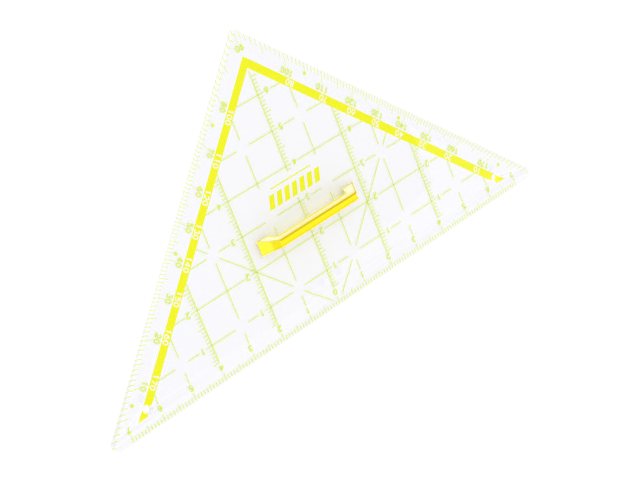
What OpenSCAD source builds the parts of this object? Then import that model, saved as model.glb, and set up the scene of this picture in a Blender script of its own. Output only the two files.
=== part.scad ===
// Clear 45-45-90 set square with a protractor scale and a lift-off handle.
// Frame: the origin is the zero mark, in the middle of the long edge, on the plane that the four
// nubs stand on. X runs along the long edge, Y to the right-angled corner, Z up through the plate.
// The print is a thin ink film on the underside, and it reads with the long edge at the top.

/* [Plate] */
// Half of the long edge, measured to its sharp corner
half_edge = 78.4; // [77:0.1:79]
// Thickness of the clear sheet
plate_t = 2; // [1.9:0.1:3]
// Radius of the two acute corners
acute_r = 1.7; // [0.5:0.1:2]
// Radius of the right-angled corner
apex_r = 0.6; // [0.2:0.1:1]
// Chamfer along the top of the three edges
edge_chamfer = 0.35; // [0.1:0.05:0.6]
// Radius of the small through hole near each acute corner
pin_hole_r = 1.15; // [0.8:0.05:1.4]
// Distance of each through hole from the middle of the long edge
pin_hole_x = 63.6; // [63:0.1:64]
// Height of the four nubs under the plate
nub_h = 0.25; // [0.2:0.01:0.6]
// Radius of a nub's flat tip
nub_tip_r = 0.6; // [0.4:0.05:0.9]
// Radius of a nub where it meets the plate
nub_root_r = 1; // [0.95:0.05:1.2]

/* [Handle] */
// Length of the handle over its two feet
handle_l = 35.2; // [32:0.1:36]
// Length of the level top of the bridge
bridge_l = 27.2; // [22:0.1:28]
// Height of the handle above the plate
handle_h = 4.65; // [4:0.05:6]
// Depth of the bridge between the feet
bridge_t = 2.7; // [1.5:0.1:3]
// Length of one foot at its base
foot_l = 4.4; // [3.5:0.1:5]
// Width of a foot at its base
foot_w = 4.4; // [3.5:0.1:5]
// Width of the bridge along its top
top_w = 2; // [1.6:0.1:3]
// Distance of the handle's centre line from the long edge
handle_y = 25; // [24:0.1:26]
// Depth of the pocket that each foot sits in
pocket_d = 1; // [0.6:0.1:1.2]
// Gap all round a foot in its pocket
pocket_gap = 0.08; // [0.05:0.01:0.15]
// Radius of the two pegs that hold the handle
peg_r = 1; // [0.8:0.05:1.2]
// Length of a peg below its foot
peg_l = 0.85; // [0.4:0.05:0.85]
// Gap all round a peg in its socket
peg_gap = 0.05; // [0.02:0.01:0.08]

/* [Print] */
// Thickness of the ink film
ink_t = 0.05; // [0.03:0.01:0.08]
// Width of the scale ticks
tick_w = 0.15; // [0.12:0.01:0.25]
// Width of the grid lines
line_w = 0.17; // [0.12:0.01:0.3]
// Pitch of the square grid
grid = 10; // [10:1:10]
// Height of the numerals along the long edge and in the grid
numeral_h = 1.75; // [1.4:0.05:1.9]
// Height of the outer degree numerals
outer_numeral_h = 1.75; // [1.4:0.05:1.9]
// Height of the degree numerals left clear in the band
band_numeral_h = 1.8; // [1.4:0.05:1.85]
// Width of a numeral's stroke
stroke_w = 0.25; // [0.2:0.01:0.32]
// Width of a stroke left clear in the band
band_stroke_w = 0.31; // [0.18:0.01:0.32]
// Radius of the round marker dots
dot_r = 0.4; // [0.3:0.02:0.6]

/* [Hidden] */
$fn = 48;

plate_z = nub_h;                       // underside of the sheet
top_z = plate_z + plate_t;             // upper face of the sheet
foot_z = top_z - pocket_d;             // the handle's feet stand here, in their pockets
bow_h = handle_h + pocket_d;           // height of the handle over its feet
peg_x = (handle_l - foot_l) / 2;
eps = 0.01;                            // lets a cutter run past the face that it cuts
root2 = sqrt(2);

// A leg of the outline is the line |x| + y = half_edge. The prints along the legs are placed by
// the same sum, so each stays parallel to its leg.
tick_start = half_edge - 0.1;          // outer end of the degree ticks
tick_end_1 = half_edge - 2.1;          // inner ends of the 1, 5 and 10 degree ticks
tick_end_5 = half_edge - 3.4;
tick_end_10 = half_edge - 4.3;
dot_sum = half_edge - 3.6;
outer_numeral_sum = half_edge - 5.9;
band_outer = half_edge - 7.7;
band_inner = half_edge - 10.9;
band_middle = (band_outer + band_inner) / 2;
band_foot_y = 3.5;                     // the band ends in a cut parallel to the long edge

edge_margin = 0.05;                    // clear strip between the long edge and its ticks
edge_reach = 70;                       // the long edge is marked this far each side of zero
edge_tick_ends = [1.15, 1.6, 1.9];     // inner ends of the 1, 5 and 10 mm ticks
edge_numeral_y = 3.35;
column_start = 4.75;                   // the columns start just above the edge numerals
comb_tick_l = [1.35, 2];               // lengths of the 1 and 5 mm ticks on a column
column_numeral_x = 3;                  // from a column to the middle of its row numerals
numeral_window = 1.05;                 // half of the break in a row line at a numeral
node_window = 2.1;                     // half of the break where two odd lines would cross
emblem_y = [31.3, 38.6];               // the columns break here, around the emblem

nub_places = [[-63.6, 8.6], [-3, 7.8], [3, 7.8], [63.6, 8.6]];
dot_angles = [7, 42, 75, 105, 138, 173];
ink_bright = "#e6ea00";
ink_line = "#cfdc4a";

// Rules for the strokes

function unit(v) = v / norm(v);
function left_of(v) = [-v.y, v.x];
function arc(c, rx, ry, from, to, steps) =
    [for (i = [0:steps]) let(a = from + (to - from) * i / steps) [c.x + rx * cos(a), c.y + ry * sin(a)]];
// The offset direction at point i of a path, lengthened so that the stroke keeps its width
function mitre(path, i) =
    let(last = len(path) - 1)
    let(into = unit(path[max(i, 1)] - path[max(i, 1) - 1]))
    let(out = unit(path[min(i + 1, last)] - path[min(i, last - 1)]))
    let(bisector = unit(left_of(into) + left_of(out)))
    bisector / (bisector * left_of(out));
function on_ray(sum, angle) =
    let(r = sum / (abs(cos(angle)) + sin(angle))) [r * cos(angle), r * sin(angle)];
function grows(sum, x) = sum - abs(x);

module stroke(path, w) {
    last = len(path) - 1;
    polygon([
        for (i = [0:last]) path[i] + mitre(path, i) * w / 2,
        for (i = [last:-1:0]) path[i] - mitre(path, i) * w / 2
    ]);
}

module ring(c, rx, ry, w) {
    steps = 16;
    outer = arc(c, rx + w / 2, ry + w / 2, 0, 360 - 360 / steps, steps - 1);
    inner = arc(c, rx - w / 2, ry - w / 2, 0, 360 - 360 / steps, steps - 1);
    polygon(
        points = concat(outer, inner),
        paths = [[for (i = [0:steps - 1]) i], [for (i = [0:steps - 1]) steps + i]]
    );
}

// One numeral, h high over all, drawn round its own centre with a stroke w wide
module digit(n, h, w) {
    half_h = (h - w) / 2;
    half_w = 0.27 * h;
    if (n == 0) ring([0, 0], half_w, half_h, w);
    if (n == 1) stroke([[-0.12 * h, half_h - 0.17 * h], [0.06 * h, half_h], [0.06 * h, -half_h]], w);
    if (n == 2) {
        bowl = arc([0, half_h - half_w], half_w, half_w, 165, -35, 7);
        stroke(concat(bowl, [[-half_w, -half_h], [half_w, -half_h]]), w);
    }
    if (n == 3) {
        stroke(arc([0, half_h / 2], 0.21 * h, half_h / 2, 150, -80, 7), w);
        stroke(arc([0, -half_h / 2], half_w, half_h / 2, 80, -150, 7), w);
    }
    if (n == 4) {
        stroke([[0.11 * h, half_h], [-half_w, -0.14 * h], [half_w, -0.14 * h]], w);
        stroke([[0.11 * h, half_h], [0.11 * h, -half_h]], w);
    }
    if (n == 5) {
        bowl = arc([0, half_w - half_h], half_w, half_w, 125, -145, 7);
        stroke(concat([[half_w, half_h], [-0.2 * h, half_h]], bowl), w);
    }
    if (n == 6) {
        ring([0, half_w - half_h], half_w, half_w, w);
        stroke([[0.14 * h, half_h], [-0.13 * h, half_h - 0.24 * h], [-half_w, half_w - half_h]], w);
    }
    if (n == 7) stroke([[-half_w, half_h], [half_w, half_h], [-0.08 * h, -half_h]], w);
    if (n == 8) {
        ring([0, half_h / 2], 0.21 * h, half_h / 2, w);
        ring([0, -half_h / 2], half_w, half_h / 2, w);
    }
    if (n == 9) rotate(180) digit(6, h, w);
}

// A whole number, centred on a point and turned in the plane
module number(value, centre, turn, h, w) {
    places = value > 99 ? [100, 10, 1] : value > 9 ? [10, 1] : [1];
    pitch = 0.8 * h;
    translate(centre)
        rotate(turn)
            for (i = [0:len(places) - 1])
                translate([(i - (len(places) - 1) / 2) * pitch, 0])
                    digit(floor(value / places[i]) % 10, h, w);
}

// Lays a flat figure on the underside as a film of ink
module film() {
    translate([0, 0, plate_z - ink_t])
        linear_extrude(ink_t)
            children();
}

// Moulded pieces

module plate_outline() {
    acute = 45;
    acute_back = acute_r / tan(acute / 2);
    acute_c = [half_edge - acute_back, acute_r];
    apex_c = [0, half_edge - apex_r * root2];
    polygon(concat(
        arc(acute_c, acute_r, acute_r, -90, acute, 9),
        arc(apex_c, apex_r, apex_r, acute, 180 - acute, 6),
        arc([-acute_c.x, acute_c.y], acute_r, acute_r, 180 - acute, 270, 9)
    ));
}

// A long square bar that takes the chamfer off the top of one edge
module chamfer_cutter(distance, turn) {
    bar = 3;
    rotate(turn)
        translate([0, distance - edge_chamfer, top_z])
            rotate([45, 0, 0])
                translate([-2 * half_edge, 0, -bar / 2])
                    cube([4 * half_edge, bar, bar]);
}

module nub(place) {
    translate(place)
        cylinder(h = nub_h + eps, r1 = nub_tip_r, r2 = nub_root_r);
}

module clear_plate() {
    color("#eef0fb")
    union() {
        difference() {
            translate([0, 0, plate_z])
                linear_extrude(plate_t)
                    plate_outline();
            chamfer_cutter(0, 180);
            chamfer_cutter(half_edge / root2, 45);
            chamfer_cutter(half_edge / root2, -45);
            for (side = [-1, 1]) {
                translate([side * pin_hole_x, band_middle - pin_hole_x, 0])
                    cylinder(h = top_z + 1, r = pin_hole_r);
                translate([side * peg_x, handle_y, 0])
                    cylinder(h = top_z + 1, r = peg_r + peg_gap);
                translate([side * peg_x, handle_y, foot_z + pocket_d])
                    cube([foot_l + 2 * pocket_gap, foot_w + 2 * pocket_gap, 2 * pocket_d], center = true);
            }
        }
        for (place = nub_places) nub(place);
    }
}

// The handle's side view, with its feet on y = 0
module handle_profile() {
    inner_foot = handle_l / 2 - foot_l;
    inner_top = inner_foot - 1;
    under = bow_h - bridge_t;
    bend_r = 0.8;
    side = [
        [bridge_l / 2, bow_h],
        [handle_l / 2, 0],
        [inner_foot, 0],
        [inner_foot, pocket_d],
        [inner_top + 0.3, under - bend_r],
        [inner_top, under - bend_r / 4],
        [inner_top - bend_r, under]
    ];
    polygon(concat(side, [for (i = [len(side) - 1:-1:0]) [-side[i].x, side[i].y]]));
}

module lift_handle() {
    lean = atan((foot_w - top_w) / 2 / bow_h);
    color("#fff200")
    translate([0, handle_y, foot_z])
        union() {
            difference() {
                rotate([90, 0, 0])
                    linear_extrude(foot_w, center = true)
                        handle_profile();
                for (side = [0, 180])
                    rotate(side)
                        translate([0, foot_w / 2, 0])
                            rotate([lean, 0, 0])
                                translate([-handle_l, 0, -bow_h])
                                    cube([2 * handle_l, foot_w, 3 * bow_h]);
            }
            for (side = [-1, 1])
                translate([side * peg_x, 0, -peg_l])
                    cylinder(h = peg_l + eps, r = peg_r);
        }
}

// Printed films

module accent_band() {
    color(ink_bright)
    film()
        difference() {
            polygon([
                [0, band_outer], [grows(band_outer, band_foot_y), band_foot_y],
                [grows(band_inner, band_foot_y), band_foot_y], [0, band_inner],
                [-grows(band_inner, band_foot_y), band_foot_y],
                [-grows(band_outer, band_foot_y), band_foot_y]
            ]);
            for (side = [-1, 1])
                translate([side * pin_hole_x, band_middle - pin_hole_x])
                    circle(r = pin_hole_r);
            for (a = [10:10:80]) {
                number(a, on_ray(band_middle, a), 135, band_numeral_h, band_stroke_w);
                number(180 - a, on_ray(band_middle, 180 - a), 225, band_numeral_h, band_stroke_w);
            }
        }
}

module edge_scale_ticks() {
    color(ink_line)
    film()
        for (x = [-edge_reach:edge_reach])
            stroke([[x, edge_margin], [x, edge_tick_ends[x % 10 == 0 ? 2 : x % 5 == 0 ? 1 : 0]]], tick_w);
}

module edge_scale_numerals() {
    color(ink_line)
    film()
        for (x = [-edge_reach:grid:edge_reach])
            number(abs(x) / grid, [x, edge_numeral_y], 180, numeral_h, stroke_w);
}

// A column line with millimetre ticks on the side towards the right, or outwards on the left
module comb(x, from, to) {
    side = x < 0 ? -1 : 1;
    stroke([[x, from], [x, to]], line_w);
    for (y = [ceil(max(from, 5)):floor(to - 1)])
        if (y % grid != 0)
            stroke([[x, y], [x + side * comb_tick_l[y % 5 == 0 ? 1 : 0], y]], tick_w);
}

module centre_column_scale() {
    color(ink_line)
    film() {
        comb(0, column_start, emblem_y[0]);
        comb(0, emblem_y[1], band_inner - 0.9);
    }
}

module inner_column_scales() {
    color(ink_line)
    film()
        for (x = [-2 * grid, 2 * grid])
            comb(x, column_start, grows(band_inner, x));
}

module outer_column_scales() {
    color(ink_line)
    film()
        for (x = [-4 * grid, 4 * grid])
            comb(x, column_start, grows(band_inner, x));
}

// Breaks where two odd lines would cross, so that the grid reads in squares of two
module odd_windows() {
    for (x = [-5:2:5], y = [1:2:5])
        translate([x * grid, y * grid])
            square(2 * node_window, center = true);
}

module plain_column_lines() {
    color(ink_line)
    film()
        difference() {
            for (side = [-1, 1], column = [1, 3, 5, 6]) {
                x = side * column * grid;
                stroke([[x, column_start], [x, grows(band_inner, x)]], line_w);
            }
            odd_windows();
            translate([-2 * grid, emblem_y[0]])
                square([4 * grid, emblem_y[1] - emblem_y[0]]);
        }
}

// The columns that carry row numerals in this row
function numbered_columns(y) =
    [for (x = [-4:2:4]) if (grows(band_inner, x * grid) > y + column_numeral_x) x * grid];
function row_numeral_x(x) = x + (x < 0 ? -1 : 1) * column_numeral_x;

module row_lines() {
    color(ink_line)
    film()
        difference() {
            for (row = [1:6])
                stroke([[-grows(band_inner, row * grid), row * grid],
                        [grows(band_inner, row * grid), row * grid]], line_w);
            odd_windows();
            for (row = [1:6], x = numbered_columns(row * grid))
                translate([row_numeral_x(x), row * grid])
                    square(2 * numeral_window, center = true);
        }
}

module row_numerals() {
    color(ink_line)
    film()
        for (row = [1:6], x = numbered_columns(row * grid))
            number(row, [row_numeral_x(x), row * grid], 180, numeral_h, stroke_w);
}

module diagonal_lines() {
    spans = [[1.8, 8.7], [11.4, 28.6], [31.2, band_inner / 2]];
    color(ink_line)
    film()
        for (side = [-1, 1], span = spans)
            stroke([[side * span[0], span[0]], [side * span[1], span[1]]], line_w);
}

// The ticks next to a corner stop short of its rounding
function corner_reach(angle) =
    half_edge - 0.15 - (abs(cos(angle)) > 0.5 ? acute_r * root2 : apex_r * (root2 - 1));
function tick_tip(angle) =
    let(tip = on_ray(tick_start, angle)) tip * min(1, corner_reach(angle) / norm(tip));

module degree_tick(angle) {
    inner = angle % 10 == 0 ? tick_end_10 : angle % 5 == 0 ? tick_end_5 : tick_end_1;
    stroke([on_ray(inner, angle), tick_tip(angle)], tick_w);
}

module degree_ticks_left() {
    color(ink_line)
    film()
        for (angle = [91:179]) degree_tick(angle);
}

module degree_ticks_right() {
    color(ink_line)
    film()
        for (angle = [1:90]) degree_tick(angle);
}

// The outer scale counts from the left corner, so it reads 180 minus the angle
module degree_numerals_left() {
    color(ink_line)
    film()
        for (angle = [100:10:170])
            number(180 - angle, on_ray(outer_numeral_sum, angle), 225, outer_numeral_h, stroke_w);
}

module degree_numerals_right() {
    color(ink_line)
    film() {
        number(90, [0, outer_numeral_sum + 0.4], 180, outer_numeral_h, stroke_w);
        for (angle = [10:10:80])
            number(180 - angle, on_ray(outer_numeral_sum, angle), 135, outer_numeral_h, stroke_w);
    }
}

module marker_dots() {
    color(ink_line)
    film()
        for (angle = dot_angles)
            translate(on_ray(dot_sum, angle))
                circle(r = dot_r);
}

// A plain strip of slanted bars over a thin rule
module emblem_strip() {
    bars = 7;
    pitch = 2.65;
    bar_w = 1.7;
    bar_h = 3.6;
    slant = 1.2;
    base_y = 32;
    color(ink_bright)
    film() {
        for (i = [0:bars - 1])
            translate([(i - (bars - 1) / 2) * pitch, base_y])
                polygon([[-bar_w / 2 - slant / 2, 0], [bar_w / 2 - slant / 2, 0],
                         [bar_w / 2 + slant / 2, bar_h], [-bar_w / 2 + slant / 2, bar_h]]);
        stroke([[-7, base_y + 5], [7, base_y + 5]], 0.35);
    }
}

clear_plate();
lift_handle();
accent_band();
edge_scale_ticks();
edge_scale_numerals();
centre_column_scale();
inner_column_scales();
outer_column_scales();
plain_column_lines();
row_lines();
row_numerals();
diagonal_lines();
degree_ticks_left();
degree_ticks_right();
degree_numerals_left();
degree_numerals_right();
marker_dots();
emblem_strip();
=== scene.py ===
# %% [markdown]
# # A clear set square with a fluorescent print and a lift-off handle
#
# The object is a drawing triangle moulded from clear plastic. Its scales and grid are printed on
# the underside in a fluorescent yellow ink, so that they lie close to the paper and are read with
# hardly any parallax. A small bow handle of fluorescent plastic snaps into two sockets in the
# middle.
#
# The solid model comes in as a fixed frame, in metres. The printed films are already right in
# shape, so they stay and only get an ink. The clear sheet and the handle are made again here,
# because the eye reads moulded plastic by its rounded edges, and the solid model's edges are
# either flat chamfers or sharp.

# %% Load the frame
import math

import bmesh
import bpy
from mathutils import Matrix, Vector


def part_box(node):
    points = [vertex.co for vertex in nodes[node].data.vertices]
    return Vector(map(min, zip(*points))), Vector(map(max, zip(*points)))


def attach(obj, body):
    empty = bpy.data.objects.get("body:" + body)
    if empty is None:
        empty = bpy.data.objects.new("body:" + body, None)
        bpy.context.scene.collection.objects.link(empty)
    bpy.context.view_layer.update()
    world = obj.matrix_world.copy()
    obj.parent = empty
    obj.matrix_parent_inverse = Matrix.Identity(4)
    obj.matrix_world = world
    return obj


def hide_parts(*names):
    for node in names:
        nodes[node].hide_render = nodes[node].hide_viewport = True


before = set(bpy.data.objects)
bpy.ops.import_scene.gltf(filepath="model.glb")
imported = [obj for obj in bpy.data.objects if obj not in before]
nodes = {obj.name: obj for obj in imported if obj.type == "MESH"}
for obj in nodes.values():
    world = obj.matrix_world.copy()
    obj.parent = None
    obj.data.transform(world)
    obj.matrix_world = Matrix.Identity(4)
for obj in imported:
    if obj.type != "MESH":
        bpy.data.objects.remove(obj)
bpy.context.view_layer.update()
MM = 0.001

# %% [markdown]
# ## Measures
#
# The outer measures are worked out from the boxes of the frame's parts. What a box can't tell,
# such as a hole's place or a corner's radius, is named here with the solid model's own number.
# The print's upper face is the underside of the sheet. The sheet made here starts a hair above
# it, because two faces in exactly the same plane spoil each other when they are rendered.

# %% Read the sheet's and the handle's places
sheet_low, sheet_high = (Vector(c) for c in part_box("clear_plate"))
handle_low, handle_high = (Vector(c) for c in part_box("lift_handle"))
print_top = Vector(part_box("row_lines")[1]).z
HAIR = 0.02 * MM

APEX_R = 0.6 * MM
ACUTE_R = 1.7 * MM
half_edge = sheet_high.y + APEX_R * (math.sqrt(2) - 1)
sheet_bottom = print_top + HAIR
sheet_top = sheet_high.z
print(f"half edge {half_edge / MM:.2f} mm, sheet {(sheet_top - sheet_bottom) / MM:.2f} mm thick")

# %% [markdown]
# ## Camera
#
# The camera looks down on the sheet from beyond its left short edge, and it is rolled so that
# the long edge climbs from the lower left of the frame to its right-hand side. A roll is easiest
# to get right by writing down the camera's own three directions and making its matrix from them:
# a camera looks along its negative Z, with X to the right and Y up.

# %% Place the camera
CAMERA_AT = Vector((-0.23402, 0.15424, 0.35974))
CAMERA_RIGHT = Vector((0.71685, -0.3497, 0.60319))
CAMERA_UP = Vector((0.4611, 0.88669, -0.03393))
CAMERA_AHEAD = Vector((0.52298, -0.30245, -0.79687))

LENS_MM = 97.2
SENSOR_MM = 36
NEAREST_SEEN = 0.01

camera_data = bpy.data.cameras.new("camera")
camera_data.lens = LENS_MM
camera_data.sensor_width = SENSOR_MM
camera_data.clip_start = NEAREST_SEEN
camera = bpy.data.objects.new("camera", camera_data)
turn = Matrix((CAMERA_RIGHT, CAMERA_UP, -CAMERA_AHEAD)).transposed().to_4x4()
camera.matrix_world = Matrix.Translation(CAMERA_AT) @ turn
bpy.context.scene.collection.objects.link(camera)
bpy.context.scene.camera = camera
print("camera is", round(CAMERA_AT.length, 3), "m from the zero mark")

# %% [markdown]
# ## Helpers for materials
#
# Colours are picked as hex values, as on a screen, and a shader wants linear light, so one
# function turns one into the other. A second function adds a node: it takes the node's kind, its
# settings, and for each input either a plain value or the output that feeds it.

# %% Colour and node helpers
def linear(hex_colour, alpha=1.0):
    """A screen colour such as "#f2f200" as linear RGBA."""
    channels = [int(hex_colour[i : i + 2], 16) / 255 for i in (1, 3, 5)]
    return [c / 12.92 if c <= 0.04045 else ((c + 0.055) / 1.055) ** 2.4 for c in channels] + [alpha]


def add_node(tree, kind, inputs=None, **settings):
    """A new node with its settings made and its inputs set or linked."""
    node = tree.nodes.new(kind)
    for name, value in settings.items():
        setattr(node, name, value)
    for socket, value in (inputs or {}).items():
        if isinstance(value, bpy.types.NodeSocket):
            tree.links.new(value, node.inputs[socket])
        else:
            node.inputs[socket].default_value = value
    return node


def new_material(name):
    """An empty node material, and its tree."""
    material = bpy.data.materials.new(name)
    material.use_nodes = True
    material.node_tree.nodes.clear()
    return material, material.node_tree


def noise(tree, size_mm, detail):
    """Noise with swells about size_mm millimetres apart, fixed to the piece itself."""
    place = add_node(tree, "ShaderNodeTexCoord").outputs["Object"]
    sockets = {"Vector": place, "Scale": 1000 / size_mm, "Detail": detail}
    return add_node(tree, "ShaderNodeTexNoise", sockets).outputs["Fac"]


def spread(tree, value, low, high, to_low=0.0, to_high=1.0, **settings):
    """The value taken from the span low to high and laid on another span."""
    sockets = {"Value": value, "From Min": low, "From Max": high, "To Min": to_low, "To Max": to_high}
    return add_node(tree, "ShaderNodeMapRange", sockets, **settings).outputs["Result"]


def maths(tree, operation, a, b=0.0):
    """The result of one sum on two values or outputs."""
    return add_node(tree, "ShaderNodeMath", {0: a, 1: b}, operation=operation).outputs[0]


def relief(tree, height, strength, depth_mm):
    """A normal tilted as if the height stood up by depth_mm."""
    sockets = {"Height": height, "Strength": strength, "Distance": depth_mm * MM}
    return add_node(tree, "ShaderNodeBump", sockets).outputs["Normal"]


def tinted(tree, share, under, over):
    """Two colours mixed by a share. Each is a hex colour or an output."""
    colours = {6: under, 7: over}
    sockets = {k: linear(c) if isinstance(c, str) else c for k, c in colours.items()}
    return add_node(tree, "ShaderNodeMix", {"Factor": share, **sockets}, data_type="RGBA").outputs[2]


def mixed_shader(tree, share, under, over):
    """Two shaders mixed by a share: all under at zero, all over at one."""
    sockets = {0: share, 1: under.outputs[0], 2: over.outputs[0]}
    return add_node(tree, "ShaderNodeMixShader", sockets)


def finish_material(tree, shader):
    """Makes the shader the surface of its material."""
    add_node(tree, "ShaderNodeOutputMaterial", {"Surface": shader.outputs[0]})


print("white is", linear("#ffffff"), "and mid grey is", [round(c, 3) for c in linear("#808080")])

# %% [markdown]
# ## Polished clear acrylic
#
# The sheet is injection moulded in a polished steel tool from clear acrylic (PMMA), whose index
# is 1.49. That gives three things to the eye: the print under it seems to float up by a third of
# the sheet's thickness, a lamp shows in it only as a faint mirror image, and the edges gleam. For
# the flat faces a glass shader does the first two. Left alone it would also shade the print and
# the table, so for the rays that carry light to them the sheet counts as a plain window.
#
# A faint ripple with a 9 mm swell, left by the plastic's flow in the tool, and a haze of wiping
# marks break up what the faces mirror.
#
# The walls, that is the outer edges and the sides of the holes and pockets, get a simpler
# material: a window that does not bend light, with a gleam on its outer side only. Real walls
# throw light from one to another many times, and a renderer that stops after a few bounces
# paints them black. For the same reason a ray that would be trapped inside the sheet by total
# reflection is let straight out through the face. Seen from low down, the edges are therefore
# paler than real ones.

# %% Clear acrylic, for the faces and for the walls
ACRYLIC_IOR = 1.49
TOTAL_REFLECTION = 0.98


def light_carrier(tree):
    """One for the rays that carry light to what lies under the sheet, else zero."""
    path = add_node(tree, "ShaderNodeLightPath").outputs
    return maths(tree, "MAXIMUM", path["Is Shadow Ray"], path["Is Diffuse Ray"])


def clear_acrylic(name, tint, ripple_mm, ripple_strength):
    """A sheet's flat face: glass to the camera, and a plain window to rays that carry light."""
    material, tree = new_material(name)
    ripple = relief(tree, noise(tree, ripple_mm, 2.0), ripple_strength, 0.02)
    haze = spread(tree, noise(tree, 2.5, 5.0), 0.3, 0.8, 0.0, 0.03)
    window = add_node(tree, "ShaderNodeBsdfTransparent", {"Color": linear(tint)})
    sockets = {"Color": linear(tint), "Roughness": haze, "IOR": ACRYLIC_IOR, "Normal": ripple}
    glass = add_node(tree, "ShaderNodeBsdfGlass", sockets)
    inside = add_node(tree, "ShaderNodeNewGeometry").outputs["Backfacing"]
    fresnel = add_node(tree, "ShaderNodeFresnel", {"IOR": ACRYLIC_IOR}).outputs[0]
    mirror_like = maths(tree, "GREATER_THAN", fresnel, TOTAL_REFLECTION)
    trapped = maths(tree, "MULTIPLY", inside, mirror_like)
    straight_on = maths(tree, "MAXIMUM", light_carrier(tree), trapped)
    finish_material(tree, mixed_shader(tree, straight_on, glass, window))
    return material


def acrylic_wall(name, tint, gleam_share):
    """A sheet's wall: a window that doesn't bend light, with a gleam on its outer side."""
    material, tree = new_material(name)
    streaks = spread(tree, noise(tree, 0.4, 2.0), 0.3, 0.7, 0.03, 0.12)
    window = add_node(tree, "ShaderNodeBsdfTransparent", {"Color": linear(tint)})
    gleam = add_node(tree, "ShaderNodeBsdfGlossy", {"Color": linear("#ffffff"), "Roughness": streaks})
    backfacing = add_node(tree, "ShaderNodeNewGeometry").outputs["Backfacing"]
    outside = maths(tree, "SUBTRACT", 1.0, maths(tree, "MAXIMUM", backfacing, light_carrier(tree)))
    fresnel = add_node(tree, "ShaderNodeFresnel", {"IOR": ACRYLIC_IOR}).outputs[0]
    share = maths(tree, "MULTIPLY", maths(tree, "MULTIPLY", fresnel, outside), gleam_share)
    finish_material(tree, mixed_shader(tree, share, window, gleam))
    return material


acrylic = clear_acrylic("polished clear acrylic", "#fefeff", 9.0, 0.2)
wall = acrylic_wall("moulded edge of clear acrylic", "#fefeff", 0.5)
print("made", acrylic.name, "and", wall.name)

# %% [markdown]
# ## Fluorescent screen ink
#
# The scales are screen printed in a fluorescent yellow ink. Such an ink gives back more light
# than white paper does in its own colour, because it turns blue and violet light into yellow, and
# that is what makes it glow: a little plain emission on top of its colour stands for it. The film
# is matt. The screen's mesh leaves a fine unevenness, 0.12 mm on a real screen, drawn here at
# 0.5 mm so that it shows, and the ink lies a little thinner in broad soft patches.
#
# The films hang a fifth of a millimetre over the table top and would throw a shadow on it. The
# band's shadow would grey the clear numerals in it, so for the rays that carry light the band
# isn't there, and its numerals stay as white as the table.
#
# The fine lines are a second ink, a little greener. They are drawn a little thinner than real
# ones, so they keep most of their shadow, which gives them their weight back. The degree ticks
# have the same colour and throw no shadow, because with one they looked too heavy.

# %% Two inks
def screen_ink(name, colour, thin_colour, glow, shadow):
    """A matt glowing ink. shadow is the share of its shadow that it keeps."""
    material, tree = new_material(name)
    mesh_marks = noise(tree, 0.5, 3.0)
    deposit = maths(tree, "ADD", mesh_marks, noise(tree, 7.0, 1.0))
    ink = add_node(
        tree,
        "ShaderNodeBsdfPrincipled",
        {
            "Base Color": tinted(tree, spread(tree, deposit, 0.8, 1.3), colour, thin_colour),
            "Roughness": spread(tree, mesh_marks, 0.0, 1.0, 0.5, 0.75),
            "IOR": 1.5,
            "Specular IOR Level": 0.2,
            "Normal": relief(tree, mesh_marks, 0.3, 0.01),
            "Emission Color": linear(colour),
            "Emission Strength": glow,
        },
    )
    no_ink = add_node(tree, "ShaderNodeBsdfTransparent", {"Color": linear("#ffffff")})
    let_through = maths(tree, "MULTIPLY", light_carrier(tree), 1.0 - shadow)
    finish_material(tree, mixed_shader(tree, let_through, ink, no_ink))
    return material


yellow_ink = screen_ink("fluorescent yellow screen ink", "#f1f200", "#eef003", 0.03, 0.0)
line_ink = screen_ink("yellow-green line ink", "#e2f400", "#e4f40c", 0.03, 0.85)
tick_ink = screen_ink("thin yellow-green tick ink", "#e2f400", "#e4f40c", 0.03, 0.0)

SOLID_PRINTS = ["accent_band", "emblem_strip"]
SHEET_AND_HANDLE = ["clear_plate", "lift_handle"]
for name, node in nodes.items():
    if name not in SHEET_AND_HANDLE:
        node.data.materials.clear()
        ink = tick_ink if name.startswith("degree_ticks") else line_ink
        node.data.materials.append(yellow_ink if name in SOLID_PRINTS else ink)
print("inked", len(nodes) - len(SHEET_AND_HANDLE), "printed films")

# %% [markdown]
# ## The clear sheet
#
# The sheet is a flat outline with two small through holes near its acute corners. A flat curve
# with several closed loops is the shortest way to such a shape. Blender fills it, gives it a
# thickness and rolls a bevel round every rim, the holes' rims too. Each loop is drawn as points,
# 40 to a hole, which is enough for it to look round.

# %% Loops of the outline and of the holes
PIN_R = 1.15 * MM
PIN_FROM_EDGE = 5.5 * MM
SOCKET_R = 1.05 * MM
FOOT_L = 4.4 * MM
FOOT_W = 4.4 * MM
POCKET_GAP = 0.08 * MM
POCKET_DEPTH = 1.0 * MM
pin_x = 63.6 * MM
handle_mid_y = (handle_low.y + handle_high.y) / 2
socket_x = handle_high.x - FOOT_L / 2


def arc(centre, radius, start, end, steps):
    """Points on an arc, with the angles in degrees."""
    angles = [math.radians(start + (end - start) * i / steps) for i in range(steps + 1)]
    return [(centre[0] + radius * math.cos(a), centre[1] + radius * math.sin(a)) for a in angles]


def circle(centre, radius, steps=40):
    """Points once round a circle, with none of them double."""
    return arc(centre, radius, 0, 360 - 360 / steps, steps - 1)


acute_x = half_edge - ACUTE_R / math.tan(math.radians(22.5))
outline = (
    arc((acute_x, ACUTE_R), ACUTE_R, -90, 45, 14)
    + arc((0, half_edge - APEX_R * math.sqrt(2)), APEX_R, 45, 135, 8)
    + arc((-acute_x, ACUTE_R), ACUTE_R, 135, 270, 14)
)
holes = [circle((s * pin_x, PIN_FROM_EDGE), PIN_R) for s in (-1, 1)]
print("outline of", len(outline), "points and", len(holes), "holes")

# %% Fill the loops into a sheet with rolled edges
RIM_ROUND = 0.15 * MM


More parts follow.
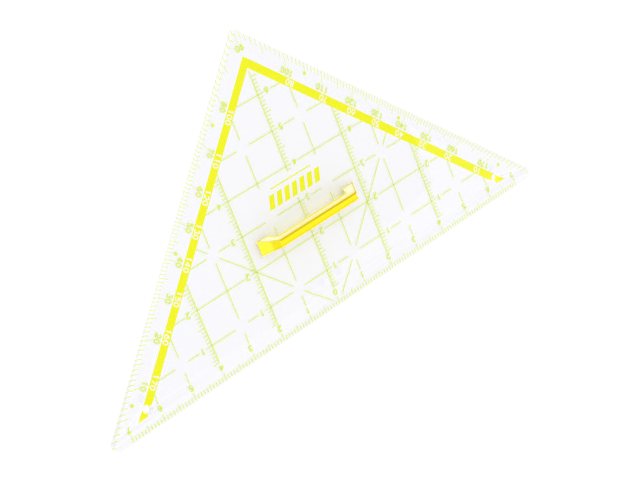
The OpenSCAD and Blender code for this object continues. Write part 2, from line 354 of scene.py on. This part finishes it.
def flat_solid(name, loops, bottom, top, rim):
    """A mesh of the filled loops from bottom to top, with its rims rounded."""
    curve = bpy.data.curves.new(name, "CURVE")
    curve.dimensions = "2D"
    curve.fill_mode = "BOTH"
    curve.extrude = (top - bottom) / 2 - rim
    curve.bevel_depth = rim
    curve.bevel_resolution = 2
    curve.offset = -rim
    for loop in loops:
        spline = curve.splines.new("POLY")
        spline.points.add(len(loop) - 1)
        for point, (x, y) in zip(spline.points, loop):
            point.co = (x, y, 0, 1)
        spline.use_cyclic_u = True
    drawn = bpy.data.objects.new(name, curve)
    bpy.context.scene.collection.objects.link(drawn)
    evaluated = drawn.evaluated_get(bpy.context.evaluated_depsgraph_get())
    mesh = bpy.data.meshes.new_from_object(evaluated)
    bpy.data.objects.remove(drawn)
    mesh.transform(Matrix.Translation((0, 0, (top + bottom) / 2)))
    mesh.name = name
    return mesh


sheet_mesh = flat_solid("clear_sheet", [outline] + holes, sheet_bottom, sheet_top, RIM_ROUND)
print("sheet has", len(sheet_mesh.polygons), "faces")

# %% [markdown]
# Each foot of the handle stands in a pocket 1 mm deep, and its peg stands in a round socket in
# the pocket's floor, which goes on through the sheet. These are cut with four boolean modifiers,
# a box and then a round bar on each side. The modifiers are applied at once, so that what stays
# is one plain mesh with closed walls, as a glass shader needs. The points that the curve left
# double are merged before the cut.

# %% Cut the pockets and the sockets
def merge_points(mesh, reach=0.001 * MM):
    """Joins the mesh's points that lie closer than reach, and turns its faces outwards."""
    merger = bmesh.new()
    merger.from_mesh(mesh)
    bmesh.ops.remove_doubles(merger, verts=merger.verts, dist=reach)
    bmesh.ops.recalc_face_normals(merger, faces=merger.faces)
    merger.to_mesh(mesh)
    merger.free()


def prism(loop, bottom, top):
    """A closed mesh of one flat loop drawn up from bottom to top."""
    solid = bmesh.new()
    low = [solid.verts.new((x, y, bottom)) for x, y in loop]
    high = [solid.verts.new((x, y, top)) for x, y in loop]
    solid.faces.new(low[::-1])
    solid.faces.new(high)
    for i in range(len(loop)):
        j = (i + 1) % len(loop)
        solid.faces.new([low[i], low[j], high[j], high[i]])
    mesh = bpy.data.meshes.new("cutter")
    solid.to_mesh(mesh)
    solid.free()
    return mesh


def cut_away(mesh, cutters):
    """The mesh with each cutter's mesh taken away from it."""
    body = bpy.data.objects.new("being_cut", mesh)
    bpy.context.scene.collection.objects.link(body)
    tools = []
    for cutter in cutters:
        tool = bpy.data.objects.new("cutter", cutter)
        bpy.context.scene.collection.objects.link(tool)
        step = body.modifiers.new("cut", "BOOLEAN")
        step.operation = "DIFFERENCE"
        step.solver = "EXACT"
        step.object = tool
        tools.append(tool)
    result = bpy.data.meshes.new_from_object(
        body.evaluated_get(bpy.context.evaluated_depsgraph_get())
    )
    for leftover in tools + [body]:
        bpy.data.objects.remove(leftover)
    return result


merge_points(sheet_mesh)
CUTTER_REACH = 1.0 * MM
CUTTER_OVERLAP = 0.5 * MM
pocket_floor = sheet_top - POCKET_DEPTH
pocket_half = (FOOT_L / 2 + POCKET_GAP, FOOT_W / 2 + POCKET_GAP)
cutters = []
for side in (-1, 1):
    centre = (side * socket_x, handle_mid_y)
    corners = [(-1, -1), (1, -1), (1, 1), (-1, 1)]
    pocket = [(centre[0] + a * pocket_half[0], centre[1] + b * pocket_half[1]) for a, b in corners]
    cutters.append(prism(pocket, pocket_floor, sheet_top + CUTTER_REACH))
    socket_bar = circle(centre, SOCKET_R)
    cutters.append(prism(socket_bar, sheet_bottom - CUTTER_REACH, pocket_floor + CUTTER_OVERLAP))
sheet_mesh = cut_away(sheet_mesh, cutters)
sheet_mesh.materials.clear()
sheet_mesh.materials.append(acrylic)
sheet_mesh.materials.append(wall)
print("sheet with pockets has", len(sheet_mesh.polygons), "faces")

# %% [markdown]
# The four nubs that lift the print off the paper are turned shapes: a half profile swept once
# round an axis. They are the same plastic as the sheet and grow out of it, so they go into the
# same mesh. Their material is the walls' simple one.

# %% Turned shapes, and the four nubs
def add_turned(mesh_builder, profile, centre, steps=28):
    """Adds a closed turned shape to a bmesh. profile is (radius, height) pairs from tip to root."""
    rings = []
    for radius, height in profile:
        if radius < 1e-9:
            rings.append([mesh_builder.verts.new((centre[0], centre[1], height))])
            continue
        ring = circle(centre, radius, steps)
        rings.append([mesh_builder.verts.new((x, y, height)) for x, y in ring])
    for low, high in zip(rings, rings[1:]):
        for i in range(steps):
            j = (i + 1) % steps
            corners = [low[i % len(low)], low[j % len(low)], high[j % len(high)], high[i % len(high)]]
            mesh_builder.faces.new(list(dict.fromkeys(corners)))


NUB_PLACES = [(-63.6, 8.6), (-3.0, 7.8), (3.0, 7.8), (63.6, 8.6)]
NUB_R = 1.0 * MM
NUB_ROOT = 0.1 * MM
NUB_MARGIN = 0.01 * MM
FLAT_ENOUGH = 0.95
nub_profile = [
    (0.0, 0.0),
    (0.45 * MM, 0.005 * MM),
    (0.60 * MM, 0.05 * MM),
    (0.78 * MM, 0.15 * MM),
    (NUB_R, sheet_bottom),
    (NUB_R, sheet_bottom + NUB_ROOT),
    (0.0, sheet_bottom + NUB_ROOT),
]
builder = bmesh.new()
builder.from_mesh(sheet_mesh)
for x, y in NUB_PLACES:
    add_turned(builder, nub_profile, (x * MM, y * MM))
bmesh.ops.recalc_face_normals(builder, faces=builder.faces)
for face in builder.faces:
    is_low = max(v.co.z for v in face.verts) < sheet_bottom + NUB_ROOT + NUB_MARGIN
    on_nub = is_low and face.calc_area() < MM**2
    face.material_index = 1 if on_nub or abs(face.normal.z) < FLAT_ENOUGH else 0
builder.to_mesh(sheet_mesh)
builder.free()
print("walls:", sum(p.material_index for p in sheet_mesh.polygons), "of", len(sheet_mesh.polygons))

# %% [markdown]
# Smooth shading with a sharp limit keeps the flats flat and the rolled rims round.

# %% Finish the sheet
def finish_piece(name, mesh, body, stands_for, smooth_degrees=35):
    """Puts a mesh in the scene as a smooth-shaded piece that rides on a body."""
    piece = bpy.data.objects.new(name, mesh)
    bpy.context.scene.collection.objects.link(piece)
    mesh.shade_smooth()
    mesh.set_sharp_from_angle(angle=math.radians(smooth_degrees))
    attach(piece, body)
    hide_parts(stands_for)
    print("finished", name, "with", len(mesh.polygons), "faces")
    return piece


sheet = finish_piece("clear_sheet", sheet_mesh, "square", "clear_plate")

# %% [markdown]
# ## Fluorescent moulded plastic
#
# The handle is moulded from a clear plastic with a fluorescent yellow dye, and its surface is
# glossy. Its own colour is a deep yellow that varies a little at random. Light and shade are
# painted into that colour on top. The tall side faces are painted pale towards the feet, a
# painted light, and stay deep yellow towards the top. The ramps are painted a lighter yellow up
# to the height of the bridge's underside, a painted light, and a deeper yellow above it, a
# painted shade. The rounded edge between the top and the side that faces the right-angled
# corner gets the deepest tone, a painted shade that shows as an amber line. A faint plain
# emission on top of the colour stands for the fluorescent glow, a painted glow.
#
# Height comes from the piece's own coordinates, and the direction of a face from its normal, so
# the tones stay on the handle when the view or the handle moves.

# %% Handle plastic
def fluorescent_plastic(name, top_z, under_z):
    material, tree = new_material(name)
    coordinates = add_node(tree, "ShaderNodeTexCoord")
    height = add_node(tree, "ShaderNodeSeparateXYZ", {0: coordinates.outputs["Object"]}).outputs["Z"]
    facing = add_node(tree, "ShaderNodeSeparateXYZ", {0: coordinates.outputs["Normal"]}).outputs
    clouds = noise(tree, 5.0, 2.0)

    endwards = maths(tree, "ABSOLUTE", facing["X"])
    on_ramp = spread(tree, endwards, 0.5, 0.7)
    # Painted light and painted shade on the ramps: lighter below the bridge's underside, deeper above
    # it.
    painted_light_low_on_ramp = spread(tree, height, under_z + 0.5 * MM, under_z + 0.2 * MM)
    on_side = spread(tree, maths(tree, "ABSOLUTE", facing["Y"]), 0.6, 0.85)
    # Painted light: the side faces turn pale towards the feet.
    painted_light_low_on_side = spread(
        tree, height, top_z - 0.5 * MM, top_z - 2.3 * MM, interpolation_type="SMOOTHSTEP"
    )
    # Painted shade: a dark amber line on the rounded edge between the top and the +Y side.
    painted_shade_edge = maths(
        tree,
        "MULTIPLY",
        spread(tree, facing["Y"], 0.1, 0.25),
        spread(tree, facing["Z"], 0.2, 0.35),
    )
    painted_shade_edge = maths(tree, "MULTIPLY", painted_shade_edge, spread(tree, endwards, 0.45, 0.25))
    body = tinted(tree, clouds, "#fbee12", "#f7e600")
    body = tinted(tree, on_ramp, body, tinted(tree, painted_light_low_on_ramp, "#efe200", "#fff53c"))
    body = tinted(tree, maths(tree, "MULTIPLY", on_side, painted_light_low_on_side), body, "#fffde0")
    tone = tinted(tree, painted_shade_edge, body, "#d2b200")

    plastic = add_node(
        tree,
        "ShaderNodeBsdfPrincipled",
        {
            "Base Color": tone,
            "Roughness": spread(tree, noise(tree, 0.8, 4.0), 0.3, 0.75, 0.2, 0.34),
            "IOR": 1.5,
            "Specular IOR Level": 0.35,
            "Normal": relief(tree, clouds, 0.25, 0.03),
            # Painted glow: a faint plain emission stands for the fluorescence, lit by no lamp.
            "Emission Color": linear("#fff000"),
            "Emission Strength": 0.03,
        },
    )
    finish_material(tree, plastic)
    return material


BRIDGE_T = 2.7 * MM
handle_plastic = fluorescent_plastic(
    "fluorescent yellow moulded plastic", handle_high.z, handle_high.z - BRIDGE_T
)
print("made", handle_plastic.name)

# %% [markdown]
# ## The bow handle
#
# The handle is a flat bow: two slanted ramps rise from its feet to a level bridge, and one can
# slip a fingernail under the bridge to lift it off. From the side it is one outline with an
# opening, and it grows narrower towards the top, so that the mould opens. So the outline is drawn
# once with its corners rounded, and each of its points is set out to both sides by half of the
# width at its height. The rims are rounded by five rings to a side, on a quarter of a circle.
#
# The order of the rings matters, and it is the wrong way round here: the two side faces close the
# innermost rings. So they lie sunk 0.3 mm behind their rims, and the mesh is inside out. Rings
# that ran outermost first on one side and outermost last on the other would put this right.

# %% The outline from the side
TOP_L = 27.2 * MM
INNER_LEAN = 1.0 * MM
foot_x = handle_high.x
foot_z = pocket_floor
rise = handle_high.z - foot_z


SMALLEST_ROUND = 0.03 * MM
MOST_OF_A_SIDE = 0.4


def inset_corner(before, corner, after, depth):
    """The corner moved inwards so that both of its sides lie deeper by depth."""
    sides = [(corner - before).normalized(), (after - corner).normalized()]
    inwards = [Vector((-d.y, d.x)) for d in sides]
    return corner + (inwards[0] + inwards[1]) * depth / (1 + inwards[0].dot(inwards[1]))


def side_ring(corners, depth, steps=6):
    """The outline lying deeper by depth, with each corner rounded. It runs anticlockwise."""
    points = [Vector(point) for point, radius in corners]
    count = len(points)
    moved = [
        inset_corner(points[i - 1], points[i], points[(i + 1) % count], depth) for i in range(count)
    ]
    ring = []
    for i, corner in enumerate(moved):
        back, ahead = moved[i - 1] - corner, moved[(i + 1) % count] - corner
        hollow = back.cross(ahead) > 0
        radius = corners[i][1] * MM + (depth if hollow else -depth)
        half = back.angle(ahead) / 2
        wanted = max(radius, SMALLEST_ROUND) / math.tan(half)
        reach = min(wanted, MOST_OF_A_SIDE * back.length, MOST_OF_A_SIDE * ahead.length)
        start, end = corner + back.normalized() * reach, corner + ahead.normalized() * reach
        for k in range(steps + 1):
            t = k / steps
            ring.append(start * (1 - t) ** 2 + corner * 2 * t * (1 - t) + end * t**2)
    return ring


inner_x = foot_x - FOOT_L
half_outline = [
    ((inner_x - INNER_LEAN, rise - BRIDGE_T), 0.7),
    ((inner_x, POCKET_DEPTH), 0.3),
    ((inner_x, 0), 0.1),
    ((foot_x, 0), 0.12),
    ((TOP_L / 2, rise), 0.9),
]
corners = half_outline + [((-x, z), r) for (x, z), r in reversed(half_outline)]
print("side outline has", len(side_ring(corners, 0)), "points")

# %% Set the outline out to both sides
TOP_W = 2.0 * MM
EDGE_ROUND = 0.3 * MM
EDGE_STEPS = 4
PEG_R = 1.0 * MM
PEG_TIP_R = 0.72 * MM


def half_width(height):
    """Half of the bow's width at a height over the foot."""
    return (FOOT_W + (TOP_W - FOOT_W) * height / rise) / 2


builder = bmesh.new()
rings = []
for side in (-1, 1):
    for k in range(EDGE_STEPS + 1)[:: -side]:
        angle = math.radians(90 * k / EDGE_STEPS)
        path = side_ring(corners, EDGE_ROUND * (1 - math.cos(angle)))
        pulled_in = EDGE_ROUND * (1 - math.sin(angle))
        ring = []
        for p in path:
            y = handle_mid_y + side * (half_width(p.y) - pulled_in)
            ring.append(builder.verts.new((p.x, y, foot_z + p.y)))
        rings.append(ring)
builder.faces.new(rings[0])
builder.faces.new(rings[-1])
for near, far in zip(rings, rings[1:]):
    for i in range(len(near)):
        j = (i + 1) % len(near)
        builder.faces.new([near[i], near[j], far[j], far[i]])
print("bow has", len(builder.faces), "faces")

# %% [markdown]
# Under each foot a round peg goes down into its socket in the sheet. Its tip is rounded to find
# the hole, and a shallow waist gives the snap. It shows when the handle is lifted off.

# %% The two pegs
peg_end = handle_low.z
PEG_ROOT = 0.3 * MM
PEG_STEPS = [
    (0.0, 0.0),
    (PEG_TIP_R * 0.8, 0.0),
    (PEG_TIP_R, 0.04 * MM),
    (PEG_R, 0.2 * MM),
    (PEG_R, 0.35 * MM),
    (PEG_R * 0.9, 0.45 * MM),
    (PEG_R * 0.9, 0.6 * MM),
    (PEG_R, 0.7 * MM),
]
peg_profile = [(radius, peg_end + height) for radius, height in PEG_STEPS]
peg_profile += [(PEG_R, foot_z + PEG_ROOT), (0.0, foot_z + PEG_ROOT)]
for side in (-1, 1):
    add_turned(builder, peg_profile, (side * socket_x, handle_mid_y))
bmesh.ops.recalc_face_normals(builder, faces=builder.faces)
handle_mesh = bpy.data.meshes.new("bow_handle")
builder.to_mesh(handle_mesh)
builder.free()
handle_mesh.materials.append(handle_plastic)
handle = finish_piece("bow_handle", handle_mesh, "grip", "lift_handle", 50)

# %% [markdown]
# ## Floor and light
#
# The set square lies on a plain white table top. A broad soft lamp overhead and a lower one from
# the side of the long edge light it evenly, with hardly a shadow, and a pale surround fills in.
# What the surround gives to mirror images is dim, as if dark cloth hung above the table: the
# clear faces mirror little of it, and the print keeps its strong colour.

# %% Table top, lamps and surround
floor_mesh = bpy.data.meshes.new("table_top")
REACH = 3.0
floor_mesh.from_pydata(
    [(-REACH, -REACH, 0), (REACH, -REACH, 0), (REACH, REACH, 0), (-REACH, REACH, 0)],
    [],
    [(0, 1, 2, 3)],
)
floor = bpy.data.objects.new("table_top", floor_mesh)
floor.location.z = -HAIR
bpy.context.scene.collection.objects.link(floor)

floor_material, floor_tree = new_material("plain white table top")
floor_shader = add_node(
    floor_tree,
    "ShaderNodeBsdfPrincipled",
    {
        "Base Color": linear("#f6f6f6"),
        "Roughness": spread(floor_tree, noise(floor_tree, 1.0, 3.0), 0.0, 1.0, 0.8, 0.95),
        "Specular IOR Level": 0.2,
    },
)
finish_material(floor_tree, floor_shader)
floor_mesh.materials.append(floor_material)


def soft_lamp(name, place, size, power):
    """A square lamp that points at the middle of the sheet."""
    lamp_data = bpy.data.lights.new(name, "AREA")
    lamp_data.shape = "SQUARE"
    lamp_data.size = size
    lamp_data.energy = power
    lamp = bpy.data.objects.new(name, lamp_data)
    lamp.location = place
    aim = Vector((0, half_edge / 2, 0)) - Vector(place)
    lamp.rotation_euler = aim.to_track_quat("-Z", "Y").to_euler()
    bpy.context.scene.collection.objects.link(lamp)
    return lamp


soft_lamp("overhead_softbox", (-0.3, 0.2, 1.2), 1.5, 3.0)
soft_lamp("side_softbox", (0.9, -0.7, 0.6), 0.8, 0.9)

MIRRORED_STRENGTH = 0.15
world = bpy.data.worlds.new("pale_surround")
world.use_nodes = True
world_tree = world.node_tree
world_tree.nodes.clear()
mirrored = add_node(world_tree, "ShaderNodeLightPath").outputs["Is Glossy Ray"]
strength = spread(world_tree, mirrored, 0.0, 1.0, 1.0, MIRRORED_STRENGTH)
sky = add_node(world_tree, "ShaderNodeBackground", {"Color": linear("#ffffff"), "Strength": strength})
add_node(world_tree, "ShaderNodeOutputWorld", {"Surface": sky.outputs[0]})
bpy.context.scene.world = world
bpy.context.scene.view_settings.view_transform = "Standard"
bpy.context.scene.view_settings.look = "None"
